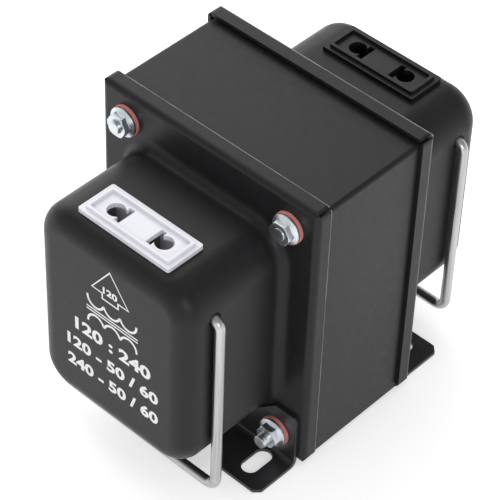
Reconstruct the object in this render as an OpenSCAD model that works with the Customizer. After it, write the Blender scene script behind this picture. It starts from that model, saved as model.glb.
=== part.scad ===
// Travel voltage converter: a bolted transformer in a steel case.
// Millimetres, +Z up, the front end bell faces -Y, the floor is z = 0.
// The origin is at floor level, midway between the two end bells.

/* [Lamination core] */
// Width of the laminations, side to side
lam_w = 80; // [76:1:92]
// Height of the laminations
lam_h = 96.6; // [94:0.2:110]
// Thickness of the lamination stack, front to rear
stack_d = 47.6; // [40:0.2:60]
// Width of the outer limbs and of the yokes
limb_w = 16; // [14.5:0.5:18]
// Height of the centre limb that carries the coil
centre_limb_h = 32; // [26:1:34]
// How far the core centre lies below the centre of the end bells
core_drop = 0.6; // [0:0.1:0.7]

/* [Tie bolts] */
// Spacing of the tie bolts, side to side
bolt_pitch_x = 64.4; // [63.6:0.2:66]
// Spacing of the tie bolts, top to bottom
bolt_pitch_z = 83.2; // [82.4:0.2:85]
// Thread diameter of the tie bolts
bolt_d = 4; // [3:0.5:4]
// Radial gap between a bolt and the sheet that it passes through
bolt_clear = 0.25; // [0.1:0.05:0.5]
// Wall of the insulating sleeve on each bolt
sleeve_wall = 0.55; // [0.4:0.05:0.8]
// Width across the flats of the nuts and bolt heads
hex_flats = 7; // [6.5:0.5:7.5]
// Height of a flange nut
nut_h = 3.6; // [3.2:0.1:5]
// Height of a bolt head
head_h = 3.8; // [3:0.1:4.5]
// Diameter of the collar on nuts and bolt heads
collar_d = 9.9; // [9:0.1:10.4]
// Thickness of the collar on nuts and bolt heads
collar_t = 0.9; // [0.6:0.1:1.2]
// Diameter of the red fibre washers
washer_d = 10.3; // [10:0.1:10.8]
// Thickness of the red fibre washers
washer_t = 0.9; // [0.6:0.1:1.2]
// How far the upper left bolt stands out of its nut
tip_upper_left = 1.1; // [0:0.1:2]
// How far the upper right bolt stands out of its nut
tip_upper_right = 0.2; // [0:0.1:2]
// How far the lower bolts stand out of their nuts
tip_lower = 3.0; // [0:0.1:4]

/* [Core cover] */
// Sheet thickness of the folded cover over the core
cover_t = 1.2; // [0.8:0.1:1.2]
// Outside bend radius of the cover
cover_bend_r = 1.4; // [1.3:0.1:1.4]
// How far the cover sides stop above the lower edge of the end bells
cover_edge_gap = 0.1; // [0:0.1:0.6]

/* [End bells] */
// Sheet thickness of the end bells
sheet_t = 1.2; // [0.8:0.1:1.4]
// Height of the flange edge above the floor
flange_rise = 2; // [1.8:0.1:4]
// Depth of the lips that are folded back over the core
lip_depth = 5.6; // [4:0.1:8]
// Space left for the core between the upper and lower lips
lip_gap = 1.6; // [1.5:0.05:2.4]
// Outside radius of the fold from flange to lip
fold_r = 2; // [1.6:0.1:2]
// Width of the slit between two lips at each corner
slit_w = 0.8; // [0.4:0.1:1.4]
// Radius of the flange's corners
flange_corner = 2; // [1.5:0.1:3]
// Width of the drawn bell
bell_w = 61.6; // [60.6:0.2:62]
// Height of the drawn bell
bell_h = 72.2; // [71:0.2:73]
// Depth of the drawn bell in front of its flange
bell_d = 39; // [38:0.5:46]
// Radius of the bell's four long corners
bell_corner_r = 11.5; // [10.5:0.5:12.5]
// Radius around the end face of the bell
bell_edge_r = 7; // [5:0.5:8]
// Radius where the bell flares into its flange
flare_r = 3.5; // [2.5:0.25:3.5]

/* [Foot rails] */
// Thickness of the foot rails
foot_t = 1.2; // [1:0.1:1.8]
// Length of the foot rails, side to side
foot_w = 80; // [76:0.2:82]
// How far the feet reach out in front of the flange
foot_reach = 17.4; // [16:0.2:22]
// Height of the ears above the floor
ear_h = 21; // [19.5:0.25:21]
// Width of the flat top of an ear
ear_top_w = 8.5; // [4:0.25:10]
// Width of a foot at its outer edge
tab_w = 17; // [14:0.1:20]
// Width of the low web between the two feet
web_w = 28; // [16:1:30]
// Height of the web between the ears
web_h = 5; // [4:0.5:6]
// Depth of the web on the floor between the feet
web_reach = 7.6; // [6:0.2:9]
// Inside bend radius of the foot rails
foot_bend_r = 1.5; // [1:0.1:2]
// Cut-off corner of each foot
foot_corner = 2; // [1:0.25:3]
// Distance of the slot centre from the centre plane
slot_x = 31; // [29:0.25:33]
// Distance of the slot centre from the flange
slot_out = 8; // [7.5:0.05:9]
// Width of the fixing slots
slot_w = 5.7; // [4.5:0.1:6]
// Length of the fixing slots, end to end
slot_l = 11.3; // [8:0.1:12]

/* [Outlets] */
// Distance of the outlet centre from the flange
outlet_out = 26.5; // [25:0.25:28]
// Length of the outlet frame
frame_l = 36; // [34:0.5:37]
// Width of the outlet frame
frame_w = 14.2; // [13.8:0.2:15.4]
// Thickness of the outlet frame
frame_t = 1.4; // [1:0.1:1.8]
// Width of the ledge around the raised rim
ledge_w = 1.45; // [1:0.05:1.6]
// Width of the raised rim
rim_w = 1.1; // [0.8:0.05:1.3]
// Height of the raised rim above the frame
rim_h = 1; // [0.6:0.1:1.4]
// Depth of the face below the top of the frame
face_sink = 0.1; // [0:0.1:0.5]
// Thickness of the outlet face
face_t = 1.6; // [1.2:0.1:2]
// Length of the outlet body below the frame
body_l = 31.4; // [30:0.2:32]
// Width of the outlet body below the frame
body_w = 10.6; // [10.2:0.2:11.4]
// Depth of the outlet body below the frame
body_h = 20; // [19:0.5:22]
// Wall of the outlet body
body_wall = 1.2; // [0.8:0.1:1.4]
// Gap around the outlet body in the end bell
cutout_gap = 0.15; // [0.1:0.05:0.4]
// Distance between the two round pins of a plug
pin_pitch = 19; // [18.6:0.1:19.4]
// Diameter of the round part of a keyhole
pin_hole_d = 5.7; // [5.2:0.1:5.8]
// Distance from the centre to the inner edge of a flat slot
blade_in = 5.3; // [5:0.1:5.5]
// Width of the flat part of a keyhole
blade_w = 2; // [1.8:0.1:2.2]
// Length of the flat part of a keyhole
blade_l = 6.6; // [6.4:0.1:7.2]

/* [Bails] */
// Diameter of the bail wire
wire_d = 3.3; // [3:0.1:3.4]
// Gap between a leg of a bail and the side of the bell
bail_play = 0.3; // [0.2:0.05:1]
// Distance of the bail pivot from the flange
pivot_out = 28; // [26:0.25:31]
// Height of the bail pivot above the centre of the bell
pivot_up = 23.3; // [18:0.1:23.3]
// Drop from the pivot to the crossbar
bail_drop = 69.4; // [69.2:0.1:71]
// Bend radius of the wire at the crossbar, on its centre line
bar_bend_r = 4; // [3:0.25:6]
// Bend radius of the wire at the pivot, on its centre line
pivot_bend_r = 2.8; // [2.2:0.1:3]
// Radial running gap of the wire in its hole
wire_gap = 0.07; // [0.03:0.01:0.1]
// Diameter of the countersink around the wire
sink_d = 4.8; // [4.4:0.1:5.2]
// Diameter of the push-on clip inside the bell
clip_d = 7.6; // [6.5:0.1:8.5]

/* [Coil] */
// Wall of the coil former
former_wall = 1.4; // [1:0.1:1.6]
// Thickness of the former's cheeks
cheek_t = 1.5; // [1:0.1:2]
// Build of the inner winding
inner_build = 5; // [4:0.1:5.4]
// Build of the outer winding
outer_build = 5.2; // [4:0.1:5.6]
// Thickness of each layer of insulation
tape_t = 0.5; // [0.3:0.1:0.7]
// Diameter of a lead wire with its insulation
lead_d = 2.2; // [1.6:0.1:2.6]
// Height of the coil lead-outs above the centre of the bell
lead_up = 4; // [0:0.5:5]

/* [Hidden] */
$fn = 64;

fit_gap = 0.05;
cut = 1;
face_y = stack_d/2 + sheet_t;
flange_w = lam_w + 2*(fit_gap + cover_t + fit_gap + sheet_t);
flange_h = lam_h + 2*(lip_gap + sheet_t);
case_z = flange_rise + flange_h/2;
core_z = case_z - core_drop;
bell_top = case_z + bell_h/2;
window_l = lam_w - 2*limb_w;
window_h = (lam_h - 2*limb_w - centre_limb_h)/2;
hole_r = bolt_d/2 + bolt_clear;
sleeve_gap = 0.05;
sleeve_r = bolt_d/2 + sleeve_gap + sleeve_wall;
hex_r = hex_flats/2/cos(30);
wire_r = wire_d/2;
leg_x = bell_w/2 + bail_play + wire_r;
pivot_z = case_z + pivot_up;
bar_z = pivot_z - bail_drop;
clip_t = 0.5;
clip_gap = 0.4;
stub_l = 6;

// Coil stack, from the centre limb outwards
former_gap = 0.2;
former_y = stack_d/2 + former_gap + former_wall;
former_z = centre_limb_h/2 + former_gap + former_wall;
cheek_z = centre_limb_h/2 + window_h - 0.3;
cheek_y = former_y + cheek_z - former_z;
layer_gap = 0.05;
inner_off = layer_gap;
layer_off = inner_off + inner_build + layer_gap;
outer_off = layer_off + tape_t + layer_gap;
wrap_off = outer_off + outer_build + layer_gap;
coil_y = former_y + wrap_off + tape_t;
coil_l = window_l - 2*(former_gap + cheek_t + layer_gap);

// Outlet stack, measured from the top of the bell
recess_l = frame_l - 2*(ledge_w + rim_w);
recess_w = frame_w - 2*(ledge_w + rim_w);
face_top = frame_t - face_sink;
face_low = face_top - face_t;
base_t = 2;
base_gap = 0.1;
strip_t = 0.5;
strip_w = 5.4;
lug_w = 3;
lug_l = 5;
leaf_gap = 0.2;
leaf_in = blade_in - leaf_gap - strip_t;
leaf_out = pin_pitch/2 + pin_hole_d/2 + leaf_gap;
lug_x = (leaf_in + leaf_out + strip_t)/2;
leaf_h = body_h - base_t - strip_t + face_low - 0.6;

// The rear of the case is the front turned half round
module at_rear() {
    rotate([0, 0, 180]) children();
}

// Work on the flange's face, with local z pointing out of the case and local y up
module on_flange() {
    translate([0, -face_y, case_z]) rotate([90, 0, 0]) children();
}

module rounded_rect(w, h, r) {
    square([w, h - 2*r], center = true);
    square([w - 2*r, h], center = true);
    for (sx = [-1, 1], sy = [-1, 1])
        translate([sx*(w/2 - r), sy*(h/2 - r)]) circle(r);
}

module at_bolts(rows) {
    for (sx = [-1, 1], sz = rows)
        translate([sx*bolt_pitch_x/2, 0, core_z + sz*bolt_pitch_z/2]) children();
}

// A straight rod along X, from x1 to x2
module rod_x(x1, x2, r) {
    translate([min(x1, x2), 0, 0]) rotate([0, 90, 0]) cylinder(r = r, h = abs(x2 - x1));
}

// A rod along Y, from y1 to y2
module rod_y(y1, y2, r) {
    translate([0, y1, 0]) rotate([-90, 0, 0]) cylinder(r = r, h = y2 - y1);
}

// Core: E and I laminations, stacked front to rear
module limb_holes(side) {
    for (sz = [-1, 1])
        translate([side*bolt_pitch_x/2, sz*bolt_pitch_z/2]) circle(sleeve_r + sleeve_gap);
}

module lamination(height) {
    translate([0, 0, core_z]) rotate([90, 0, 0])
        linear_extrude(height, center = true) children();
}

module core_e_stack() {
    color("dimgray") lamination(stack_d) difference() {
        translate([-limb_w/2, 0]) square([lam_w - limb_w, lam_h], center = true);
        for (sz = [-1, 1])
            translate([-window_l/2, sz*(centre_limb_h + window_h)/2 - window_h/2])
                square([window_l + cut, window_h]);
        limb_holes(-1);
        limb_holes(1);
    }
}

module core_i_stack() {
    color("gray") lamination(stack_d) difference() {
        translate([(lam_w - limb_w)/2, 0]) square([limb_w, lam_h], center = true);
        limb_holes(1);
    }
}

// Cover: one sheet folded over the top and both sides of the core
module core_cover() {
    inner_w = lam_w + 2*fit_gap;
    top = core_z + lam_h/2 + fit_gap + cover_t;
    low = flange_rise + cover_edge_gap;
    end = stack_d/2 - (fold_r - sheet_t) - fit_gap;
    lip_top = flange_rise + sheet_t + fit_gap;
    color([0.18, 0.18, 0.19]) difference() {
        rotate([90, 0, 0]) linear_extrude(2*end, center = true) difference() {
            intersection() {
                translate([-inner_w/2 - cover_t, low])
                    square([inner_w + 2*cover_t, top - low]);
                rounded_rect(inner_w + 2*cover_t, 2*top, cover_bend_r);
            }
            translate([-inner_w/2, low - cut])
                square([inner_w, top - cover_t - low + cut]);
        }
        for (sy = [-1, 1])
            translate([-lam_w, sy*face_y - lip_depth - fit_gap, low - cut])
                cube([2*lam_w, 2*(lip_depth + fit_gap), lip_top - low + cut]);
    }
}

// Coil: a former on the centre limb with two windings, each wrapped in tape
module coil_ring(off, build, length) {
    r_in = 1 + off;
    translate([0, 0, core_z]) rotate([90, 0, 90]) linear_extrude(length, center = true)
        difference() {
            rounded_rect(2*(former_y + off + build), 2*(former_z + off + build), r_in + build);
            rounded_rect(2*(former_y + off), 2*(former_z + off), r_in);
        }
}

module coil_former() {
    length = window_l - 2*former_gap;
    bore_y = stack_d + 2*former_gap;
    bore_z = centre_limb_h + 2*former_gap;
    color("ivory") translate([0, 0, core_z]) rotate([90, 0, 90]) difference() {
        union() {
            linear_extrude(length, center = true) rounded_rect(2*former_y, 2*former_z, 1);
            for (sx = [-1, 1])
                translate([0, 0, sx*(length - cheek_t)/2])
                    linear_extrude(cheek_t, center = true)
                        rounded_rect(2*cheek_y, 2*cheek_z, 2);
        }
        linear_extrude(length + 2*cut, center = true) square([bore_y, bore_z], center = true);
    }
}

module inner_winding() {
    color("chocolate") coil_ring(inner_off, inner_build, coil_l);
}

module layer_insulation() {
    color("khaki") coil_ring(layer_off, tape_t, coil_l);
}

module outer_winding() {
    color("sienna") coil_ring(outer_off, outer_build, coil_l);
}

module outer_insulation() {
    color("gold") coil_ring(wrap_off, tape_t, coil_l);
}

module thermal_cutout() {
    color("dimgray") translate([0, -coil_y, case_z - 8]) rotate([90, 0, 0])
        linear_extrude(2.8) rounded_rect(13, 6, 1);
}

// End bell: a drawn box with a flared root, on a flange whose edges fold back
module wall_profile(r, depth, edge_r, base) {
    intersection() {
        translate([0, base]) square([r, depth - base]);
        union() {
            translate([0, base]) square([r, depth - edge_r - base]);
            square([r - edge_r, depth]);
            translate([r - edge_r, depth - edge_r]) circle(edge_r);
        }
    }
}

module flare_profile(r, radius, base) {
    difference() {
        translate([0, base]) square([bell_corner_r + flare_r, flare_r - base]);
        translate([bell_corner_r + flare_r, flare_r]) circle(radius);
    }
}

module bell_profile(t) {
    wall_profile(bell_corner_r - t, bell_d - t, bell_edge_r - t, -t);
    flare_profile(bell_corner_r - t, flare_r + t, -t);
}

module bell_form(t) {
    half_w = bell_w/2 - bell_corner_r;
    half_h = bell_h/2 - bell_corner_r;
    for (turn = [0, 180]) rotate([0, 0, turn]) {
        translate([half_w, half_h, 0]) rotate_extrude(angle = 90) bell_profile(t);
        translate([-half_w, half_h, 0]) rotate([0, 0, 90])
            rotate_extrude(angle = 90) bell_profile(t);
        translate([half_w, 0, 0]) rotate([90, 0, 0])
            linear_extrude(2*half_h, center = true) bell_profile(t);
        translate([0, half_h, 0]) rotate([90, 0, 90])
            linear_extrude(2*half_w, center = true) bell_profile(t);
    }
    translate([-half_w, -half_h, -t]) cube([2*half_w, 2*half_h, bell_d]);
}

// The edge of a tray, rounded at its top: a bar of width w that is h deep
module tray_profile(w, h, r, top) {
    intersection() {
        translate([-w/2, -h]) square([w, h + top]);
        translate([0, top - 2*h]) rounded_rect(w, 4*h, r);
    }
}

module tray_form(w, h, depth, r, top, corner) {
    intersection() {
        translate([0, 0, -depth]) linear_extrude(depth + top) rounded_rect(w, h, corner);
        rotate([90, 0, 0]) linear_extrude(h, center = true) tray_profile(w, depth, r, top);
        rotate([90, 0, 90]) linear_extrude(w, center = true) tray_profile(h, depth, r, top);
    }
}

module end_bell() {
    on_flange() difference() {
        union() {
            difference() {
                tray_form(flange_w, flange_h, lip_depth, fold_r, 0, flange_corner);
                tray_form(flange_w - 2*sheet_t, flange_h - 2*sheet_t, lip_depth + cut,
                    fold_r - sheet_t, -sheet_t, flange_corner - sheet_t);
            }
            bell_form(0);
        }
        bell_form(sheet_t);
        for (sx = [-1, 1], sy = [-1, 1])
            translate([sx*flange_w/2, sy*flange_h/2, -lip_depth])
                rotate([0, 0, sx*sy*45])
                    cube([4*fold_r, slit_w, 2*(lip_depth - fold_r/2)], center = true);
        for (sx = [-1, 1], sy = [-1, 1])
            translate([sx*bolt_pitch_x/2, sy*bolt_pitch_z/2 - core_drop, -2*sheet_t])
                cylinder(r = hole_r, h = 4*sheet_t);
        translate([0, bell_h/2, outlet_out])
            cube([body_l + 2*cutout_gap, 4*sheet_t, body_w + 2*cutout_gap], center = true);
        translate([0, pivot_up, pivot_out]) {
            rod_x(-bell_w/2 - cut, bell_w/2 + cut, wire_r + wire_gap);
            for (side = [-1, 1]) scale([side, 1, 1]) countersink();
        }
    }
}

// The sunk mouth of the bail hole, on the +X side
module countersink() {
    sink_depth = 0.7;
    bore_r = wire_r + wire_gap;
    slope = (sink_d/2 - bore_r)/sink_depth;
    translate([bell_w/2 - sink_depth, 0, 0]) rotate([0, 90, 0])
        cylinder(r1 = bore_r, r2 = bore_r + slope*(sink_depth + cut), h = sink_depth + cut);
}

module front_bell() {
    color([0.2, 0.2, 0.21]) end_bell();
}

module rear_bell() {
    color([0.2, 0.2, 0.21]) at_rear() end_bell();
}

// Foot rail: an angle with two slotted feet and two ears, low between them
module foot_rail() {
    out = face_y + foot_reach;
    bend = foot_bend_r + foot_t;
    tab_in = foot_w/2 - tab_w;
    slope_out = foot_reach - web_reach;
    ear_in = foot_w/2 - ear_top_w;
    color([0.1, 0.1, 0.1]) difference() {
        rotate([90, 0, 90]) linear_extrude(foot_w, center = true) {
            translate([-out, 0]) square([foot_reach - bend, foot_t]);
            translate([-face_y - foot_t, bend]) square([foot_t, ear_h - bend]);
            translate([-face_y - bend, bend]) difference() {
                circle(bend);
                circle(foot_bend_r);
                translate([-2*bend, 0]) square([4*bend, 2*bend]);
                translate([-2*bend, -2*bend]) square([2*bend, 4*bend]);
            }
        }
        translate([0, 0, -cut]) linear_extrude(foot_t + 2*cut) {
            polygon([[-tab_in - cut, -out - cut], [tab_in + cut, -out - cut],
                [tab_in, -out], [web_w/2, -out + slope_out],
                [-web_w/2, -out + slope_out], [-tab_in, -out]]);
            for (sx = [-1, 1])
                translate([sx*foot_w/2, -out]) rotate([0, 0, 45])
                    square(sqrt(2)*foot_corner, center = true);
            for (sx = [-1, 1])
                translate([sx*slot_x, -face_y - slot_out]) slot_outline();
        }
        translate([0, -face_y + cut, 0]) rotate([90, 0, 0]) linear_extrude(foot_t + 2*cut) {
            polygon([[-ear_in - cut, ear_h + cut], [-ear_in, ear_h], [-web_w/2, web_h],
                [web_w/2, web_h], [ear_in, ear_h], [ear_in + cut, ear_h + cut]]);
            for (sx = [-1, 1])
                translate([sx*foot_w/2, ear_h]) rotate([0, 0, 45])
                    square(sqrt(2), center = true);
        }
        at_bolts([-1]) rod_y(-face_y - 2*foot_t, -face_y + cut, hole_r);
    }
}

module slot_outline() {
    straight = slot_l - slot_w;
    square([slot_w, straight], center = true);
    for (sy = [-1, 1]) translate([0, sy*straight/2]) circle(d = slot_w);
}

module front_foot_rail() {
    foot_rail();
}

module rear_foot_rail() {
    at_rear() foot_rail();
}

// Fasteners: through bolts from the rear, flange nuts and fibre washers in front
module hex_body(height, bore_r) {
    chamfer_r = 1.04*hex_flats/2;
    difference() {
        union() {
            cylinder(r = collar_d/2, h = collar_t);
            translate([0, 0, collar_t])
                cylinder(r1 = collar_d/2, r2 = hex_flats/2, h = 0.8);
            intersection() {
                cylinder(r = hex_r, h = height, $fn = 6);
                cylinder(r1 = chamfer_r + height, r2 = chamfer_r, h = height);
            }
        }
        if (bore_r > 0) translate([0, 0, -cut]) cylinder(r = bore_r, h = height + 2*cut);
    }
}

// Distance from the case centre to the washer's outer face, per row
function seat_y(row) = face_y + washer_t + (row < 0 ? foot_t : 0);

module tie_bolt(row, tip) {
    nut_face = seat_y(row) + nut_h;
    rod_y(-nut_face - tip, seat_y(row), bolt_d/2);
    translate([0, seat_y(row), 0]) rotate([-90, 0, 0]) hex_body(head_h, 0);
}

module tie_bolts_upper() {
    upper = core_z + bolt_pitch_z/2;
    color("lightsteelblue") {
        translate([-bolt_pitch_x/2, 0, upper]) tie_bolt(1, tip_upper_left);
        translate([bolt_pitch_x/2, 0, upper]) tie_bolt(1, tip_upper_right);
    }
}

module tie_bolts_lower() {
    color("lightsteelblue") at_bolts([-1]) tie_bolt(-1, tip_lower);
}

module tie_nuts() {
    thread_bite = 0.1;
    color("lightsteelblue") for (row = [-1, 1])
        at_bolts([row]) translate([0, -seat_y(row), 0]) rotate([90, 0, 0])
            hex_body(nut_h, bolt_d/2 - thread_bite);
}

module washers() {
    color("indianred") for (row = [-1, 1])
        at_bolts([row]) difference() {
            rod_y(-seat_y(row), -seat_y(row) + washer_t, washer_d/2);
            rod_y(-seat_y(row) - cut, -face_y + cut, hole_r);
        }
}

module front_washers() {
    washers();
}

module rear_washers() {
    at_rear() washers();
}

module bolt_sleeves() {
    color("wheat") at_bolts([-1, 1]) difference() {
        rod_y(-stack_d/2, stack_d/2, sleeve_r);
        rod_y(-stack_d/2 - cut, stack_d/2 + cut, bolt_d/2 + sleeve_gap);
    }
}

// Outlet: a snap-in moulding with two keyholes for round pins and flat blades
module on_bell_top() {
    translate([0, -face_y - outlet_out, bell_top]) children();
}

module keyhole() {
    translate([pin_pitch/2, 0]) circle(d = pin_hole_d);
    translate([blade_in, -blade_l/2]) square([blade_w, blade_l]);
}

module outlet_face() {
    latch_drop = sheet_t + 0.1;
    on_bell_top() difference() {
        union() {
            linear_extrude(frame_t) rounded_rect(frame_l, frame_w, 0.8);
            linear_extrude(frame_t + rim_h)
                rounded_rect(recess_l + 2*rim_w, recess_w + 2*rim_w, 0.9);
            translate([0, 0, -body_h]) linear_extrude(body_h) square([body_l, body_w], center = true);
            for (sy = [-1, 1]) scale([1, sy, 1])
                translate([0, body_w/2, -latch_drop]) rotate([90, 0, 90])
                    linear_extrude(8, center = true)
                        polygon([[-0.5, 0], [0.7, 0], [0, -4], [-0.5, -4]]);
        }
        translate([0, 0, face_top]) linear_extrude(frame_t + rim_h)
            rounded_rect(recess_l, recess_w, 0.6);
        translate([0, 0, -body_h - cut]) linear_extrude(body_h + cut + face_low)
            square([body_l - 2*body_wall, body_w - 2*body_wall], center = true);
        translate([0, 0, face_low - cut]) linear_extrude(face_t + 2*cut) {
            keyhole();
            rotate([0, 0, 180]) keyhole();
        }
    }
}

module outlet_base() {
    plug_l = body_l - 2*(body_wall + base_gap);
    plug_w = body_w - 2*(body_wall + base_gap);
    color("gainsboro") on_bell_top() translate([0, 0, -body_h]) linear_extrude(base_t)
        difference() {
            square([plug_l, plug_w], center = true);
            for (sx = [-1, 1])
                translate([sx*lug_x, 0])
                    square([strip_t + 2*base_gap, lug_w + 2*base_gap], center = true);
        }
}

// Contact on the +X side: a strip bent into a trough, with a lug through the base
module contact() {
    floor_z = base_t - body_h;
    color("gold") on_bell_top() {
        translate([leaf_in, -strip_w/2, floor_z])
            cube([leaf_out + strip_t - leaf_in, strip_w, strip_t]);
        for (x = [leaf_in, leaf_out])
            translate([x, -strip_w/2, floor_z]) cube([strip_t, strip_w, strip_t + leaf_h]);
        translate([lug_x - strip_t/2, -lug_w/2, floor_z - lug_l])
            cube([strip_t, lug_w, lug_l + strip_t]);
    }
}

module front_outlet_face() {
    color("whitesmoke") outlet_face();
}

module rear_outlet_face() {
    color([0.12, 0.12, 0.12]) at_rear() outlet_face();
}

module front_outlet_base() {
    outlet_base();
}

module rear_outlet_base() {
    at_rear() outlet_base();
}

module front_contact_right() {
    contact();
}

module front_contact_left() {
    mirror([1, 0, 0]) contact();
}

module rear_contact_right() {
    mirror([0, 1, 0]) contact();
}

module rear_contact_left() {
    at_rear() contact();
}

// Lead: from a contact's lug down and back to the face of the coil
module lead() {
    bend_r = 5;
    lug_end = bell_top + base_t - body_h - lug_l;
    out = face_y + outlet_out;
    level = case_z + lead_up;
    color("crimson") translate([lug_x, -out, 0]) {
        translate([0, 0, level + bend_r]) cylinder(d = lead_d, h = lug_end - level - bend_r);
        translate([0, bend_r, level + bend_r]) rotate([90, 0, -90])
            rotate([0, 0, -90]) rotate_extrude(angle = 90) translate([bend_r, 0]) circle(d = lead_d);
        translate([0, 0, level]) rod_y(bend_r, out - coil_y, lead_d/2);
    }
}

module front_lead_right() {
    lead();
}

module front_lead_left() {
    mirror([1, 0, 0]) lead();
}

module rear_lead_right() {
    mirror([0, 1, 0]) lead();
}

module rear_lead_left() {
    at_rear() lead();
}

// Bail: a round wire with inturned ends that pivot in the sides of the bell
module wire_bend(radius) {
    rotate([90, 0, 0]) rotate_extrude(angle = 90) translate([radius, 0]) circle(wire_r);
}

module bail() {
    stub_x = leg_x - pivot_bend_r;
    wall_x = bell_w/2 - sheet_t;
    color("silver") translate([0, -face_y - pivot_out, 0]) {
        for (side = [-1, 1]) scale([side, 1, 1]) {
            translate([0, 0, pivot_z]) rod_x(wall_x - stub_l, stub_x, wire_r);
            translate([stub_x, 0, pivot_z - pivot_bend_r]) wire_bend(pivot_bend_r);
            translate([leg_x, 0, bar_z + bar_bend_r])
                cylinder(r = wire_r, h = bail_drop - bar_bend_r - pivot_bend_r);
            translate([leg_x - bar_bend_r, 0, bar_z + bar_bend_r])
                scale([1, 1, -1]) wire_bend(bar_bend_r);
        }
        translate([0, 0, bar_z]) rod_x(bar_bend_r - leg_x, leg_x - bar_bend_r, wire_r);
    }
}

module bail_clips() {
    grip = 0.03;
    outer_x = bell_w/2 - sheet_t - clip_gap;
    color("darkgray") translate([0, -face_y - pivot_out, pivot_z])
        for (side = [-1, 1]) scale([side, 1, 1]) difference() {
            rod_x(outer_x - clip_t, outer_x, clip_d/2);
            rod_x(outer_x - clip_t - cut, outer_x + cut, wire_r - grip);
        }
}

module front_bail() {
    bail();
}

module rear_bail() {
    at_rear() bail();
}

module front_bail_clips() {
    bail_clips();
}

module rear_bail_clips() {
    at_rear() bail_clips();
}

front_bell();
rear_bell();
core_cover();
core_e_stack();
core_i_stack();
coil_former();
inner_winding();
layer_insulation();
outer_winding();
outer_insulation();
thermal_cutout();
front_outlet_face();
rear_outlet_face();
front_outlet_base();
rear_outlet_base();
front_contact_left();
front_contact_right();
rear_contact_left();
rear_contact_right();
front_lead_left();
front_lead_right();
rear_lead_left();
rear_lead_right();
front_bail();
rear_bail();
front_bail_clips();
rear_bail_clips();
tie_bolts_upper();
tie_bolts_lower();
tie_nuts();
front_washers();
rear_washers();
bolt_sleeves();
front_foot_rail();
rear_foot_rail();
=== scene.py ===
"""The looks of a travel voltage converter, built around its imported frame."""

import math

import bpy
from mathutils import Matrix, Vector


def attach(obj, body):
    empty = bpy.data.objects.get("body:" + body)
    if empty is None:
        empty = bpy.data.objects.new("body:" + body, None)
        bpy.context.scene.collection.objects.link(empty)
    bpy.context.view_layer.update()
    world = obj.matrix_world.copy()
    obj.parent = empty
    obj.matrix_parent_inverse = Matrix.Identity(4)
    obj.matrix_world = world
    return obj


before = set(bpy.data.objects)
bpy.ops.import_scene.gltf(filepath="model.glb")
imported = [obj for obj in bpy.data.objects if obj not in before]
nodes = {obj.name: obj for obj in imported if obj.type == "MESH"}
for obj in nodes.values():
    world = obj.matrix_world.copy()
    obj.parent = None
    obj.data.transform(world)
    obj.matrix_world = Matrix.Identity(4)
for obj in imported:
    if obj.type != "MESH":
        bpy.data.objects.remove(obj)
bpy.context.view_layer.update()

scene = bpy.context.scene
scene.view_settings.view_transform = "Standard"
MM = 0.001


# Viewpoint: a long lens that looks down on the front right corner of the
# converter, at the angle and distance from which it was pictured.
AZIMUTH = math.radians(41.71)
ELEVATION = math.radians(43.69)
ROLL = math.radians(2.26)
DISTANCE = 720.6 * MM
TARGET = Vector((-4.68, 0.21, 43.14)) * MM

back = Vector((
    math.sin(AZIMUTH) * math.cos(ELEVATION),
    -math.cos(AZIMUTH) * math.cos(ELEVATION),
    math.sin(ELEVATION),
))
level_right = Vector((0, 0, 1)).cross(back).normalized()
level_up = back.cross(level_right)
right = math.cos(ROLL) * level_right + math.sin(ROLL) * level_up
up = -math.sin(ROLL) * level_right + math.cos(ROLL) * level_up

lens = bpy.data.cameras.new("viewpoint")
lens.lens = 169.4
lens.sensor_width = 36
lens.clip_start = 0.01
camera = bpy.data.objects.new("viewpoint", lens)
scene.collection.objects.link(camera)
turned = Matrix((right, up, back)).transposed().to_4x4()
camera.matrix_world = Matrix.Translation(TARGET + back * DISTANCE) @ turned
scene.camera = camera


# Studio: a pale paper floor, lifted a little where it shows, in a white surround
# that dims overhead. A large soft lamp stands high up behind the converter on the
# left, and a small one in front of it on the right.
def hex_colour(code):
    """A colour written as sRGB hex, as linear red, green, blue and alpha."""
    channels = [int(code[i:i + 2], 16) / 255 for i in (1, 3, 5)]
    linear = [c / 12.92 if c <= 0.04045 else ((c + 0.055) / 1.055) ** 2.4 for c in channels]
    return (*linear, 1)


def add_node(tree, kind, sockets=None, **settings):
    """Adds a node with its settings; a socket takes a value or another node's output."""
    node = tree.nodes.new(kind)
    for name, value in settings.items():
        setattr(node, name, value)
    for key, value in (sockets or {}).items():
        if isinstance(value, bpy.types.NodeSocket):
            tree.links.new(value, node.inputs[key])
        else:
            node.inputs[key].default_value = value
    return node


def start_material(name):
    """A new material with only its output node; returns it with its tree and output."""
    material = bpy.data.materials.new(name)
    material.use_nodes = True
    tree = material.node_tree
    tree.nodes.clear()
    return material, tree, add_node(tree, "ShaderNodeOutputMaterial")


def soft_lamp(name, place, aim, size, power):
    """A square area lamp at place, turned towards aim."""
    light = bpy.data.lights.new(name, "AREA")
    light.shape = "SQUARE"
    light.size = size
    light.energy = power
    lamp = bpy.data.objects.new(name, light)
    scene.collection.objects.link(lamp)
    lamp.location = place
    lamp.rotation_euler = (Vector(aim) - Vector(place)).to_track_quat("-Z", "Y").to_euler()


def seen_directly(tree):
    """1 for the rays that show the studio itself: the camera's, and those in gloss or through glass."""
    path = add_node(tree, "ShaderNodeLightPath")
    looks = add_node(tree, "ShaderNodeMath", {
        0: path.outputs["Is Camera Ray"], 1: path.outputs["Is Glossy Ray"]}, operation="MAXIMUM")
    either = add_node(tree, "ShaderNodeMath", {
        0: looks.outputs[0], 1: path.outputs["Is Transmission Ray"]}, operation="MAXIMUM")
    return either.outputs[0]


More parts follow.
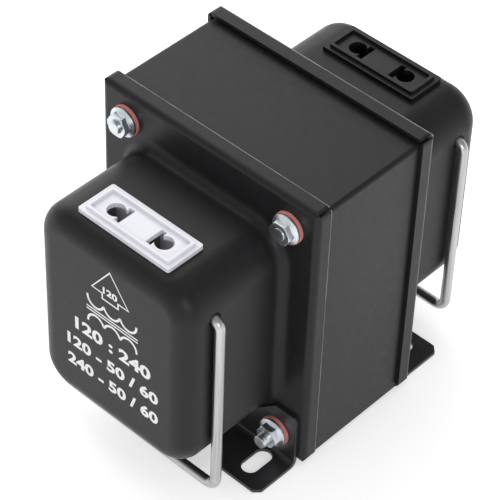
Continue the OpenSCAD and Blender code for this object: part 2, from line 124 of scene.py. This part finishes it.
floor_paper, tree, output = start_material("pale_floor_paper")
paper = add_node(tree, "ShaderNodeBsdfDiffuse", {"Color": hex_colour("#e6e6e6")})
glow = add_node(tree, "ShaderNodeEmission", {"Strength": 0.45})
lit = add_node(tree, "ShaderNodeAddShader", {0: paper.outputs[0], 1: glow.outputs[0]})
mix = add_node(tree, "ShaderNodeMixShader", {
    0: seen_directly(tree), 1: paper.outputs[0], 2: lit.outputs[0]})
tree.links.new(mix.outputs[0], output.inputs[0])

FLOOR_HALF = 2.5
# The floor lies this much below the feet, so that the two faces don't coincide.
FLOOR_DROP = 0.1 * MM
floor_mesh = bpy.data.meshes.new("floor")
corners = [(sx * FLOOR_HALF, sy * FLOOR_HALF, -FLOOR_DROP)
           for sx, sy in ((-1, -1), (1, -1), (1, 1), (-1, 1))]
floor_mesh.from_pydata(corners, [], [(0, 1, 2, 3)])
floor_mesh.materials.append(floor_paper)
floor = bpy.data.objects.new("floor", floor_mesh)
scene.collection.objects.link(floor)

world = bpy.data.worlds.new("white_surround")
scene.world = world
world.use_nodes = True
tree = world.node_tree
tree.nodes.clear()
way = add_node(tree, "ShaderNodeTexCoord").outputs["Generated"]
height = add_node(tree, "ShaderNodeSeparateXYZ", {0: way}).outputs["Z"]
# As shown, it is brightest low down; the light that it casts is even.
shown = add_node(tree, "ShaderNodeMapRange", {
    "Value": height, "From Min": 0.1, "From Max": 0.7, "To Min": 0.85, "To Max": 0.4},
    interpolation_type="SMOOTHSTEP")
strength = add_node(tree, "ShaderNodeMix", {0: seen_directly(tree), 2: 0.8, 3: shown.outputs[0]})
surround = add_node(tree, "ShaderNodeBackground", {
    "Color": (1, 1, 1, 1), "Strength": strength.outputs[0]})
add_node(tree, "ShaderNodeOutputWorld", {"Surface": surround.outputs[0]})

# Places and sizes in metres, power in watts.
LAMP_AIM = (0, 0, 0.06)
soft_lamp("key_lamp", place=(-0.94, 0.39, 0.87), aim=LAMP_AIM, size=1.3, power=10)
soft_lamp("side_lamp", place=(0.94, -0.69, 0.6), aim=LAMP_AIM, size=0.3, power=2.8)


# Core laminations: punched sheets of silicon steel, half a millimetre thick,
# stacked front to rear. Their sheared edges show from below as fine lines.
def paint(material, *names):
    """Gives CAD nodes a finish through their own material slots."""
    for name in names:
        for slot in nodes[name].material_slots:
            slot.material = material


SHEET = 0.5 * MM
steel_edges, tree, output = start_material("sheared_silicon_steel")
point = add_node(tree, "ShaderNodeTexCoord").outputs["Object"]
# A wave texture repeats its bands every 2 pi / 20 of its scaled length.
WAVE_REPEAT = 2 * math.pi / 20
lines = add_node(tree, "ShaderNodeTexWave", {"Vector": point, "Scale": WAVE_REPEAT / SHEET},
                 wave_type="BANDS", bands_direction="Y")
oxide = add_node(tree, "ShaderNodeTexNoise", {"Vector": point, "Scale": 1 / (6 * MM), "Detail": 4.0})
blend = add_node(tree, "ShaderNodeMath", {
    0: lines.outputs["Fac"], 1: oxide.outputs["Fac"]}, operation="MULTIPLY")
tone = add_node(tree, "ShaderNodeMix", {
    0: blend.outputs[0], 6: hex_colour("#2c2f34"), 7: hex_colour("#83868c")}, data_type="RGBA")
relief = add_node(tree, "ShaderNodeBump", {
    "Height": lines.outputs["Fac"], "Strength": 0.5, "Distance": 0.1 * MM})
steel = add_node(tree, "ShaderNodeBsdfPrincipled", {
    "Base Color": tone.outputs[2], "Metallic": 0.7, "Roughness": 0.5, "Normal": relief.outputs[0]})
tree.links.new(steel.outputs[0], output.inputs[0])
paint(steel_edges, "core_e_stack", "core_i_stack")


# Coil: two layers of enamelled copper wire on a nylon former, wrapped in
# polyester tape, with a thermal cut-out strapped to its face.
def grained_finish(name, dark, light, grain, depth, roughness,
                   metallic=0.0, arris=0.0, gloss_level=0.5):
    """A surface clouded between two tones, with a fine relief; arris is how far its edges are eased."""
    material, tree, output = start_material(name)
    point = add_node(tree, "ShaderNodeTexCoord").outputs["Object"]
    cloud = add_node(tree, "ShaderNodeTexNoise", {
        "Vector": point, "Scale": 1 / (6 * grain), "Detail": 3.0})
    fine = add_node(tree, "ShaderNodeTexNoise", {"Vector": point, "Scale": 1 / grain, "Detail": 2.0})
    tone = add_node(tree, "ShaderNodeMix", {
        0: cloud.outputs["Fac"], 6: hex_colour(dark), 7: hex_colour(light)}, data_type="RGBA")
    gloss = add_node(tree, "ShaderNodeMapRange", {
        "Value": cloud.outputs["Fac"], "From Min": 0.3, "From Max": 0.7,
        "To Min": roughness - 0.04, "To Max": roughness + 0.04})
    relief = add_node(tree, "ShaderNodeBump", {
        "Height": fine.outputs["Fac"], "Strength": 0.4, "Distance": depth})
    if arris:
        eased = add_node(tree, "ShaderNodeBevel", {"Radius": arris}, samples=4)
        tree.links.new(eased.outputs[0], relief.inputs["Normal"])
    surface = add_node(tree, "ShaderNodeBsdfPrincipled", {
        "Base Color": tone.outputs[2], "Metallic": metallic, "Roughness": gloss.outputs[0],
        "Specular IOR Level": gloss_level, "Normal": relief.outputs[0]})
    tree.links.new(surface.outputs[0], output.inputs[0])
    return material


WIRE_TURN = 0.8 * MM
copper_wire, tree, output = start_material("enamelled_copper_wire")
point = add_node(tree, "ShaderNodeTexCoord").outputs["Object"]
turns = add_node(tree, "ShaderNodeTexWave", {"Vector": point, "Scale": WAVE_REPEAT / WIRE_TURN},
                 wave_type="BANDS", bands_direction="X")
tone = add_node(tree, "ShaderNodeMix", {
    0: turns.outputs["Fac"], 6: hex_colour("#4a2112"), 7: hex_colour("#b5673a")}, data_type="RGBA")
relief = add_node(tree, "ShaderNodeBump", {
    "Height": turns.outputs["Fac"], "Strength": 0.8, "Distance": 0.3 * MM})
enamel = add_node(tree, "ShaderNodeBsdfPrincipled", {
    "Base Color": tone.outputs[2], "Metallic": 0.6, "Roughness": 0.3, "Coat Weight": 0.6,
    "Normal": relief.outputs[0]})
tree.links.new(enamel.outputs[0], output.inputs[0])
paint(copper_wire, "inner_winding", "outer_winding")
paint(grained_finish("moulded_nylon", "#c9c3ae", "#dcd7c6", 0.6 * MM, 0.02 * MM, 0.45), "coil_former")
paint(grained_finish("polyester_tape", "#b58c1d", "#cfa52e", 0.8 * MM, 0.03 * MM, 0.35),
      "layer_insulation", "outer_insulation")
paint(grained_finish("moulded_cutout_case", "#1a1a1c", "#232326", 0.4 * MM, 0.02 * MM, 0.4),
      "thermal_cutout")
paint(grained_finish("pvc_wire_sheath", "#7d1410", "#96201a", 0.5 * MM, 0.01 * MM, 0.4),
      "front_lead_left", "front_lead_right", "rear_lead_left", "rear_lead_right")
paint(grained_finish("varnished_paper", "#a08a5c", "#b8a272", 0.5 * MM, 0.02 * MM, 0.5), "bolt_sleeves")


# End bells and core cover: steel sheet, deep drawn or folded, then powder
# coated in matt black. The baked powder leaves a faint orange peel. A painted
# highlight, a light grey band, lies along the free edge of the front lips and
# the fold of the rear ones, where they catch the light from behind.
def coated_steel(name, highlight_y, highlight_half):
    """The black coat, with a painted highlight in a band along Y at the given place and half width,
    unless these are None.
    """
    material, tree, output = start_material(name)
    point = add_node(tree, "ShaderNodeTexCoord").outputs["Object"]
    # The peel's real waves are about 0.2 mm; they are drawn at 0.4 mm to show.
    peel = add_node(tree, "ShaderNodeTexNoise", {
        "Vector": point, "Scale": 1 / (0.4 * MM), "Detail": 2.0})
    cloud = add_node(tree, "ShaderNodeTexNoise", {
        "Vector": point, "Scale": 1 / (2.2 * MM), "Detail": 4.0})
    tone = add_node(tree, "ShaderNodeMix", {
        0: cloud.outputs["Fac"], 6: hex_colour("#1a1a1c"), 7: hex_colour("#212123")}, data_type="RGBA")
    colour = tone.outputs[2]
    # Painted highlight: a light grey band along Y, patchy along its length, for the light from behind
    # that the edge catches.
    if highlight_y is not None:
        axes = add_node(tree, "ShaderNodeSeparateXYZ", {0: point})
        offset = add_node(tree, "ShaderNodeMath", {
            0: axes.outputs["Y"], 1: highlight_y}, operation="SUBTRACT")
        reach = add_node(tree, "ShaderNodeMath", {0: offset.outputs[0]}, operation="ABSOLUTE")
        highlight_band = add_node(tree, "ShaderNodeMapRange", {
            "Value": reach.outputs[0], "From Min": highlight_half / 2, "From Max": highlight_half,
            "To Min": 1.0, "To Max": 0.0}, interpolation_type="SMOOTHSTEP")
        patchy = add_node(tree, "ShaderNodeTexNoise", {
            "Vector": point, "Scale": 1 / (9 * MM), "Detail": 2.0})
        shows = add_node(tree, "ShaderNodeMapRange", {
            "Value": patchy.outputs["Fac"], "From Min": 0.35, "From Max": 0.6,
            "To Min": 0.45, "To Max": 1.0})
        highlight_amount = add_node(tree, "ShaderNodeMath", {
            0: highlight_band.outputs[0], 1: shows.outputs[0]}, operation="MULTIPLY")
        highlit = add_node(tree, "ShaderNodeMix", {
            0: highlight_amount.outputs[0], 6: colour, 7: hex_colour("#9c9ca0")}, data_type="RGBA")
        colour = highlit.outputs[2]
    gloss = add_node(tree, "ShaderNodeMapRange", {
        "Value": cloud.outputs["Fac"], "From Min": 0.3, "From Max": 0.7, "To Min": 0.35, "To Max": 0.44})
    eased = add_node(tree, "ShaderNodeBevel", {"Radius": 0.25 * MM}, samples=4)
    relief = add_node(tree, "ShaderNodeBump", {
        "Height": peel.outputs["Fac"], "Strength": 0.6, "Distance": 0.05 * MM,
        "Normal": eased.outputs[0]})
    coat = add_node(tree, "ShaderNodeBsdfPrincipled", {
        "Base Color": colour, "Roughness": gloss.outputs[0], "Specular IOR Level": 0.22,
        "Normal": relief.outputs[0]})
    tree.links.new(coat.outputs[0], output.inputs[0])
    return material


paint(coated_steel("black_powder_coat", None, None), "core_cover")
# Where the painted highlight lies: along the front lips' free edge and along the rear lips' fold.
FRONT_LIP_END, FRONT_HIGHLIGHT_HALF = -19.5 * MM, 0.14 * MM
REAR_FOLD, REAR_HIGHLIGHT_HALF = 24.2 * MM, 0.4 * MM
paint(coated_steel("black_powder_coat_front", FRONT_LIP_END, FRONT_HIGHLIGHT_HALF), "front_bell")
paint(coated_steel("black_powder_coat_rear", REAR_FOLD, REAR_HIGHLIGHT_HALF), "rear_bell")


# Foot rails: bent steel strip, stove enamelled in a glossier black than the
# case. The enamel rounds each cut edge a little.
paint(grained_finish("black_stove_enamel", "#222224", "#2c2c2f", 0.5 * MM, 0.03 * MM, 0.36,
                     arris=0.3 * MM),
      "front_foot_rail", "rear_foot_rail")


# Tie bolts and flange nuts: cold-headed steel in clear zinc plate, which gives
# a bright metal with a blue-grey cast. The plate softens every corner.
zinc_plate = grained_finish("clear_zinc_plate", "#c2c8cf", "#e2e7eb", 0.3 * MM, 0.02 * MM, 0.32,
                            metallic=1.0, arris=0.25 * MM)
paint(zinc_plate, "tie_bolts_upper", "tie_bolts_lower", "tie_nuts",
      "front_bail_clips", "rear_bail_clips")

# The thread that stands out of the nuts. An M4 thread's ridges are 0.7 mm
# apart; they are drawn 1 mm apart, and a little higher, to show.
PITCH = 1.0 * MM
RIDGE = 0.28 * MM
THREAD_R = 2.0 * MM
# In mm: the bolt's x and z, and where its thread starts and ends towards -Y.
THREAD_TIPS = {
    "left_upper_thread": (-32.2, 94.1, 29.5, 30.5),
    "right_lower_thread": (32.2, 10.9, 30.75, 33.6),
    "left_lower_thread": (-32.2, 10.9, 30.75, 33.6),
}

thread_tree = bpy.data.node_groups.new("thread_ridge", "GeometryNodeTree")
for name, kind in (("Turns", "NodeSocketFloat"), ("Radius", "NodeSocketFloat"),
                   ("Length", "NodeSocketFloat"), ("Ridge", "NodeSocketFloat"),
                   ("Finish", "NodeSocketMaterial")):
    thread_tree.interface.new_socket(name, in_out="INPUT", socket_type=kind)
thread_tree.interface.new_socket("Thread", in_out="OUTPUT", socket_type="NodeSocketGeometry")
given = add_node(thread_tree, "NodeGroupInput").outputs
helix = add_node(thread_tree, "GeometryNodeCurveSpiral", {
    "Resolution": 20, "Rotations": given["Turns"], "Start Radius": given["Radius"],
    "End Radius": given["Radius"], "Height": given["Length"]})
profile = add_node(thread_tree, "GeometryNodeCurvePrimitiveCircle", {
    "Resolution": 6, "Radius": given["Ridge"]})
swept = add_node(thread_tree, "GeometryNodeCurveToMesh", {
    "Curve": helix.outputs[0], "Profile Curve": profile.outputs[0], "Fill Caps": True})
real = add_node(thread_tree, "GeometryNodeRealizeInstances", {0: swept.outputs[0]})
dressed = add_node(thread_tree, "GeometryNodeSetMaterial", {
    "Geometry": real.outputs[0], "Material": given["Finish"]})
add_node(thread_tree, "NodeGroupOutput", {0: dressed.outputs[0]})


def grown(name, tree, inputs):
    """Runs a Geometry Nodes tree with its named inputs and returns the result as a plain mesh."""
    seed = bpy.data.objects.new(name, bpy.data.meshes.new(name + "_seed"))
    scene.collection.objects.link(seed)
    modifier = seed.modifiers.new("grow", "NODES")
    modifier.node_group = tree
    for item in tree.interface.items_tree:
        if item.in_out == "INPUT" and item.name in inputs:
            modifier[item.identifier] = inputs[item.name]
    bpy.context.view_layer.update()
    evaluated = seed.evaluated_get(bpy.context.evaluated_depsgraph_get())
    mesh = bpy.data.meshes.new_from_object(evaluated)
    bpy.data.objects.remove(seed)
    return mesh


def place_piece(name, mesh, body):
    """Links a finished mesh as a piece of the converter that rides on a body."""
    piece = bpy.data.objects.new(name, mesh)
    scene.collection.objects.link(piece)
    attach(piece, body)


for name, (x, z, near, far) in THREAD_TIPS.items():
    length = (far - near) * MM
    mesh = grown(name, thread_tree, {
        "Turns": length / PITCH, "Radius": THREAD_R, "Length": length, "Ridge": RIDGE,
        "Finish": zinc_plate})
    # The helix is grown along Z; it is laid down along -Y, in front of its nut.
    mesh.transform(Matrix.Translation(Vector((x, -near, z)) * MM) @ Matrix.Rotation(math.pi / 2, 4, "X"))
    place_piece(name, mesh, "case")


# Washers: punched red vulcanised fibre. The punch leaves fine radial ribs,
# which are light on their crests.
# The bolts stand BOLT_X to each side, and BOLT_Z above and below BOLT_MID.
BOLT_X, BOLT_Z, BOLT_MID = 32.2 * MM, 41.6 * MM, 52.5 * MM
RIBS = 56
red_fibre, tree, output = start_material("red_vulcanised_fibre")
point = add_node(tree, "ShaderNodeTexCoord").outputs["Object"]
axes = add_node(tree, "ShaderNodeSeparateXYZ", {0: point})
from_side = add_node(tree, "ShaderNodeMath", {0: axes.outputs["X"]}, operation="ABSOLUTE")
across = add_node(tree, "ShaderNodeMath", {0: from_side.outputs[0], 1: BOLT_X}, operation="SUBTRACT")
from_mid = add_node(tree, "ShaderNodeMath", {0: axes.outputs["Z"], 1: BOLT_MID}, operation="SUBTRACT")
from_row = add_node(tree, "ShaderNodeMath", {0: from_mid.outputs[0]}, operation="ABSOLUTE")
upward = add_node(tree, "ShaderNodeMath", {0: from_row.outputs[0], 1: BOLT_Z}, operation="SUBTRACT")
turn = add_node(tree, "ShaderNodeMath", {
    0: upward.outputs[0], 1: across.outputs[0]}, operation="ARCTAN2")
phase = add_node(tree, "ShaderNodeMath", {0: turn.outputs[0], 1: float(RIBS)}, operation="MULTIPLY")
rib = add_node(tree, "ShaderNodeMath", {0: phase.outputs[0]}, operation="SINE")
fibres = add_node(tree, "ShaderNodeTexNoise", {"Vector": point, "Scale": 1 / (0.8 * MM), "Detail": 3.0})
mark = add_node(tree, "ShaderNodeMath", {
    0: rib.outputs[0], 1: fibres.outputs["Fac"]}, operation="MULTIPLY")
level = add_node(tree, "ShaderNodeMapRange", {
    "Value": mark.outputs[0], "From Min": -0.5, "From Max": 0.5})
tone = add_node(tree, "ShaderNodeMix", {
    0: level.outputs[0], 6: hex_colour("#b5413b"), 7: hex_colour("#f0a8a0")}, data_type="RGBA")
relief = add_node(tree, "ShaderNodeBump", {
    "Height": rib.outputs[0], "Strength": 0.5, "Distance": 0.05 * MM})
fibre = add_node(tree, "ShaderNodeBsdfPrincipled", {
    "Base Color": tone.outputs[2], "Roughness": 0.6, "Normal": relief.outputs[0]})
tree.links.new(fibre.outputs[0], output.inputs[0])
paint(red_fibre, "front_washers", "rear_washers")


# Outlets: injection-moulded plastic, white in front and black at the rear,
# with a light gloss. Spring contacts of tinned brass lie under the keyholes.
paint(grained_finish("moulded_white_plastic", "#dadae1", "#e5e5ec", 0.5 * MM, 0.01 * MM, 0.34,
                     arris=0.25 * MM),
      "front_outlet_face", "front_outlet_base")
paint(grained_finish("moulded_black_plastic", "#141416", "#1b1b1e", 0.5 * MM, 0.02 * MM, 0.4,
                     arris=0.25 * MM, gloss_level=0.28),
      "rear_outlet_face", "rear_outlet_base")
paint(grained_finish("tinned_brass_strip", "#86837c", "#a8a49b", 0.4 * MM, 0.02 * MM, 0.34,
                     metallic=1.0),
      "front_contact_left", "front_contact_right", "rear_contact_left", "rear_contact_right")


# Bails: hard-drawn steel wire, bent while cold. The die leaves fine streaks
# that run along the wire: down the legs, and from side to side in the crossbar.
# Above LEG_FOOT the streaks run down; ALONG draws them out along the wire.
LEG_FOOT = 12 * MM
ALONG = 0.02
drawn_wire, tree, output = start_material("drawn_steel_wire")
point = add_node(tree, "ShaderNodeTexCoord").outputs["Object"]
axes = add_node(tree, "ShaderNodeSeparateXYZ", {0: point})
on_leg = add_node(tree, "ShaderNodeMath", {0: axes.outputs["Z"], 1: LEG_FOOT}, operation="GREATER_THAN")
down = add_node(tree, "ShaderNodeMapping", {"Vector": point, "Scale": (1, 1, ALONG)})
sideways = add_node(tree, "ShaderNodeMapping", {"Vector": point, "Scale": (ALONG, 1, 1)})
path = add_node(tree, "ShaderNodeMix", {
    "Factor": on_leg.outputs[0], 4: sideways.outputs[0], 5: down.outputs[0]}, data_type="VECTOR")
streaks = add_node(tree, "ShaderNodeTexNoise", {
    "Vector": path.outputs[1], "Scale": 1 / (0.45 * MM), "Detail": 3.0})
tone = add_node(tree, "ShaderNodeMix", {
    0: streaks.outputs["Fac"], 6: hex_colour("#8f8f92"), 7: hex_colour("#dcdbda")}, data_type="RGBA")
gloss = add_node(tree, "ShaderNodeMapRange", {
    "Value": streaks.outputs["Fac"], "From Min": 0.3, "From Max": 0.7, "To Min": 0.26, "To Max": 0.4})
relief = add_node(tree, "ShaderNodeBump", {
    "Height": streaks.outputs["Fac"], "Strength": 0.5, "Distance": 0.08 * MM})
wire = add_node(tree, "ShaderNodeBsdfPrincipled", {
    "Base Color": tone.outputs[2], "Metallic": 1.0, "Roughness": gloss.outputs[0],
    "Normal": relief.outputs[0]})
tree.links.new(wire.outputs[0], output.inputs[0])
paint(drawn_wire, "front_bail", "rear_bail")


# Print on the front bell: white screen ink, which stands 0.02 mm out of the face.
# It holds an arrow towards the outlet, the sign for a transformer, and rows of
# plain numbers.
INK_BACK, INK_FRONT = -63.99 * MM, -64.02 * MM
screen_ink = grained_finish("white_screen_ink", "#eeeef0", "#f6f6f8", 0.4 * MM, 0.01 * MM, 0.55)
# A sharp corner's tip reaches no further than a line's half width over this.
LEAST_MITRE = 0.8


def ink_strip(path, width, closed):
    """Corner points and faces of a flat ink line of one width along a path of (x, z) in mm."""
    count = len(path)
    sides = []
    for i, here in enumerate(path):
        before = Vector(path[i - 1] if i or closed else here)
        after = Vector(path[(i + 1) % count] if closed or i < count - 1 else here)
        here = Vector(here)
        arriving = here - before if (here - before).length else after - here
        arriving = arriving.normalized()
        leaving = (after - here).normalized() if (after - here).length else arriving
        normal_in = Vector((-arriving.y, arriving.x))
        mitre = (normal_in + Vector((-leaving.y, leaving.x))).normalized()
        reach = width / 2 / max(mitre.dot(normal_in), LEAST_MITRE)
        sides.append((here + mitre * reach, here - mitre * reach))
    faces = [(i, (i + 1) % count) for i in range(count if closed else count - 1)]
    return sides, faces


def ink_solid(strips):
    """A mesh of closed ink lines that stand on the bell's face."""
    points, faces = [], []
    for sides, spans in strips:
        first = len(points)
        for left, right_side in sides:
            for p in (left, right_side):
                points.append((p.x * MM, INK_BACK, p.y * MM))
                points.append((p.x * MM, INK_FRONT, p.y * MM))
        for a, b in spans:
            a, b = first + 4 * a, first + 4 * b
            faces += [(a + 1, b + 1, b + 3, a + 3), (a, a + 2, b + 2, b), (a, b, b + 1, a + 1),
                      (a + 2, a + 3, b + 3, b + 2)]
        if len(spans) < len(sides):
            last = first + 4 * (len(sides) - 1)
            faces += [(first, first + 1, first + 3, first + 2), (last, last + 2, last + 3, last + 1)]
    mesh = bpy.data.meshes.new("ink")
    mesh.from_pydata(points, [], faces)
    return mesh


def winding_line(centre_x, end_z, radius, arches, side, lead):
    """A winding's sign: half circles in a row and a lead at each end; side is 1 when they bulge up."""
    start = centre_x - arches * radius
    steps = 10
    bends = [(start + (2 * i + 1) * radius - radius * math.cos(math.pi * k / steps),
              end_z + side * radius * math.sin(math.pi * k / steps))
             for i in range(arches) for k in range(1, steps)]
    ends = [(start + last * 2 * arches * radius, end_z - side * drop)
            for last in (0, 1) for drop in (lead, 0)]
    return [ends[0], ends[1], *bends, ends[3], ends[2]]


# All in mm: the arrow's corners, the sign's place and parts, and the lines' widths.
ARROW = [(0.4, 81.0), (-7.0, 71.0), (-2.8, 71.0), (-2.8, 68.9),
         (3.6, 68.9), (3.6, 71.0), (7.8, 71.0)]
SIGN_X, SIGN_Z = 1.0, 61.4
WINDING_R, WINDING_ARCHES, WINDING_OUT, LEAD = 3.3, 3, 5.0, 0.4
CORE_HALF, CORE_GAP = 10.4, 1.1
ARROW_LINE, WINDING_LINE, CORE_LINE = 0.6, 0.8, 0.5
strips = [ink_strip(ARROW, ARROW_LINE, True)]
for side in (1, -1):
    winding = winding_line(
        SIGN_X, SIGN_Z + side * WINDING_OUT, WINDING_R, WINDING_ARCHES, -side, LEAD)
    strips.append(ink_strip(winding, WINDING_LINE, False))
    core_z = SIGN_Z + side * CORE_GAP / 2
    core = [(SIGN_X - CORE_HALF, core_z), (SIGN_X + CORE_HALF, core_z)]
    strips.append(ink_strip(core, CORE_LINE, False))
print_mesh = ink_solid(strips)

# Rows of plain numbers: text, height of a figure in mm, and the row's ends and foot.
NUMBER_ROWS = (
    ("120", 2.5, -2.5, 3.3, 71.4),
    ("120 : 240", 4.7, -14.5, 16.5, 49.0),
    ("120 - 50 / 60", 4.3, -18.0, 19.5, 40.8),
    ("240 - 50 / 60", 4.3, -18.0, 19.5, 32.6),
)
# A figure's height as a share of the type size, and how much bolder it is drawn.
CAPITAL = 0.729
BOLDER = 0.05
printed = bpy.data.objects.new("ink_lines", print_mesh)
scene.collection.objects.link(printed)
parts = [printed]
for text, height, x0, x1, foot in NUMBER_ROWS:
    letters = bpy.data.curves.new("numbers", "FONT")
    letters.body = text
    letters.size = height / CAPITAL * MM
    letters.extrude = (INK_BACK - INK_FRONT) / 2
    letters.offset = BOLDER * height * MM
    letters.resolution_u = 3
    row = bpy.data.objects.new("numbers", letters)
    scene.collection.objects.link(row)
    bpy.context.view_layer.update()
    mesh = bpy.data.meshes.new_from_object(row.evaluated_get(bpy.context.evaluated_depsgraph_get()))
    xs = [v.co.x for v in mesh.vertices]
    stretch = (x1 - x0) * MM / (max(xs) - min(xs))
    on_face = Matrix.Translation((x0 * MM, (INK_BACK + INK_FRONT) / 2, foot * MM))
    to_face = on_face @ Matrix.Rotation(math.pi / 2, 4, "X")
    to_width = Matrix.Diagonal((stretch, 1, 1, 1)) @ Matrix.Translation((-min(xs), 0, 0))
    mesh.transform(to_face @ to_width)
    bpy.data.objects.remove(row)
    piece = bpy.data.objects.new("numbers_mesh", mesh)
    scene.collection.objects.link(piece)
    parts.append(piece)
with bpy.context.temp_override(active_object=printed, selected_editable_objects=parts):
    bpy.ops.object.join()
print_mesh.materials.clear()
print_mesh.materials.append(screen_ink)
for polygon in print_mesh.polygons:
    polygon.material_index = 0
printed.name = "front_print"
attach(printed, "case")
